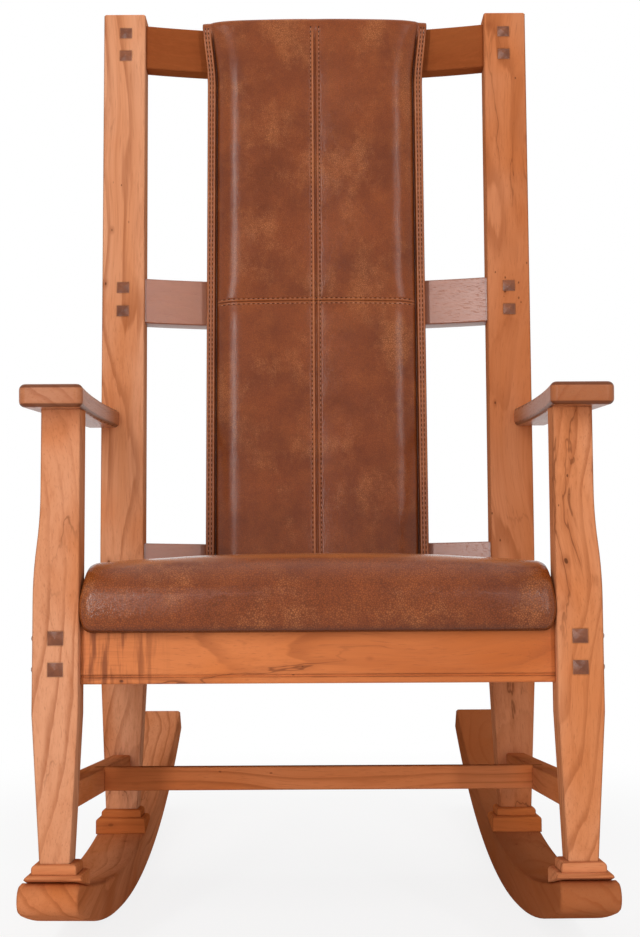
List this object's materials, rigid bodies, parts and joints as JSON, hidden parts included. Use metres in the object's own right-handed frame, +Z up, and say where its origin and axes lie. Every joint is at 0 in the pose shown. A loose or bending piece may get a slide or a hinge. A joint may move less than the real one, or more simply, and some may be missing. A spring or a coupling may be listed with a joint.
{
  "type": "rocking chair",
  "caption": "Tall-backed wooden rocking chair with flat arms, curved rockers, bowed back rails, a leather seat cushion and a leather back pad hooked over the top rail.",
  "frame": {"origin": "on the floor under the middle of the chair's bounding box, on its left-right middle plane", "axes": "+Z up, +X to the viewer's right when facing the chair, +Y from the front to the back"},
  "size_m": [0.6378, 0.9227, 1.2001],
  "materials": {
    "honey_wood": "satin lacquer",
    "peg_wood": "satin lacquer",
    "seat_plywood": "raw",
    "brown_leather": "waxed, lightly worn",
    "foam": "matte"
  },
  "bodies": {
    "root": {"arm_dowels": "honey_wood", "arm_left": "honey_wood", "arm_right": "honey_wood", "back_foam": "foam", "back_pad": "brown_leather", "back_post_left": "honey_wood", "back_post_right": "honey_wood", "corner_block_front_left": "honey_wood", "corner_block_front_right": "honey_wood", "corner_block_rear_left": "honey_wood", "corner_block_rear_right": "honey_wood", "cross_stretcher": "honey_wood", "foot_dowels": "honey_wood", "front_foot_left": "honey_wood", "front_foot_right": "honey_wood", "front_leg_left": "honey_wood", "front_leg_right": "honey_wood", "front_rail_pegs": "peg_wood", "front_seat_rail": "honey_wood", "lower_back_rail": "honey_wood", "middle_back_rail": "honey_wood", "middle_rail_pegs": "peg_wood", "rear_foot_left": "honey_wood", "rear_foot_right": "honey_wood", "rear_seat_rail": "honey_wood", "rocker_left": "honey_wood", "rocker_right": "honey_wood", "seat_board": "seat_plywood", "seat_cushion": "brown_leather", "seat_foam": "foam", "side_rail_pegs": "peg_wood", "side_seat_rail_left": "honey_wood", "side_seat_rail_right": "honey_wood", "side_stretcher_left": "honey_wood", "side_stretcher_right": "honey_wood", "top_back_rail": "honey_wood", "top_rail_pegs": "peg_wood"}
  },
  "joints": []
}
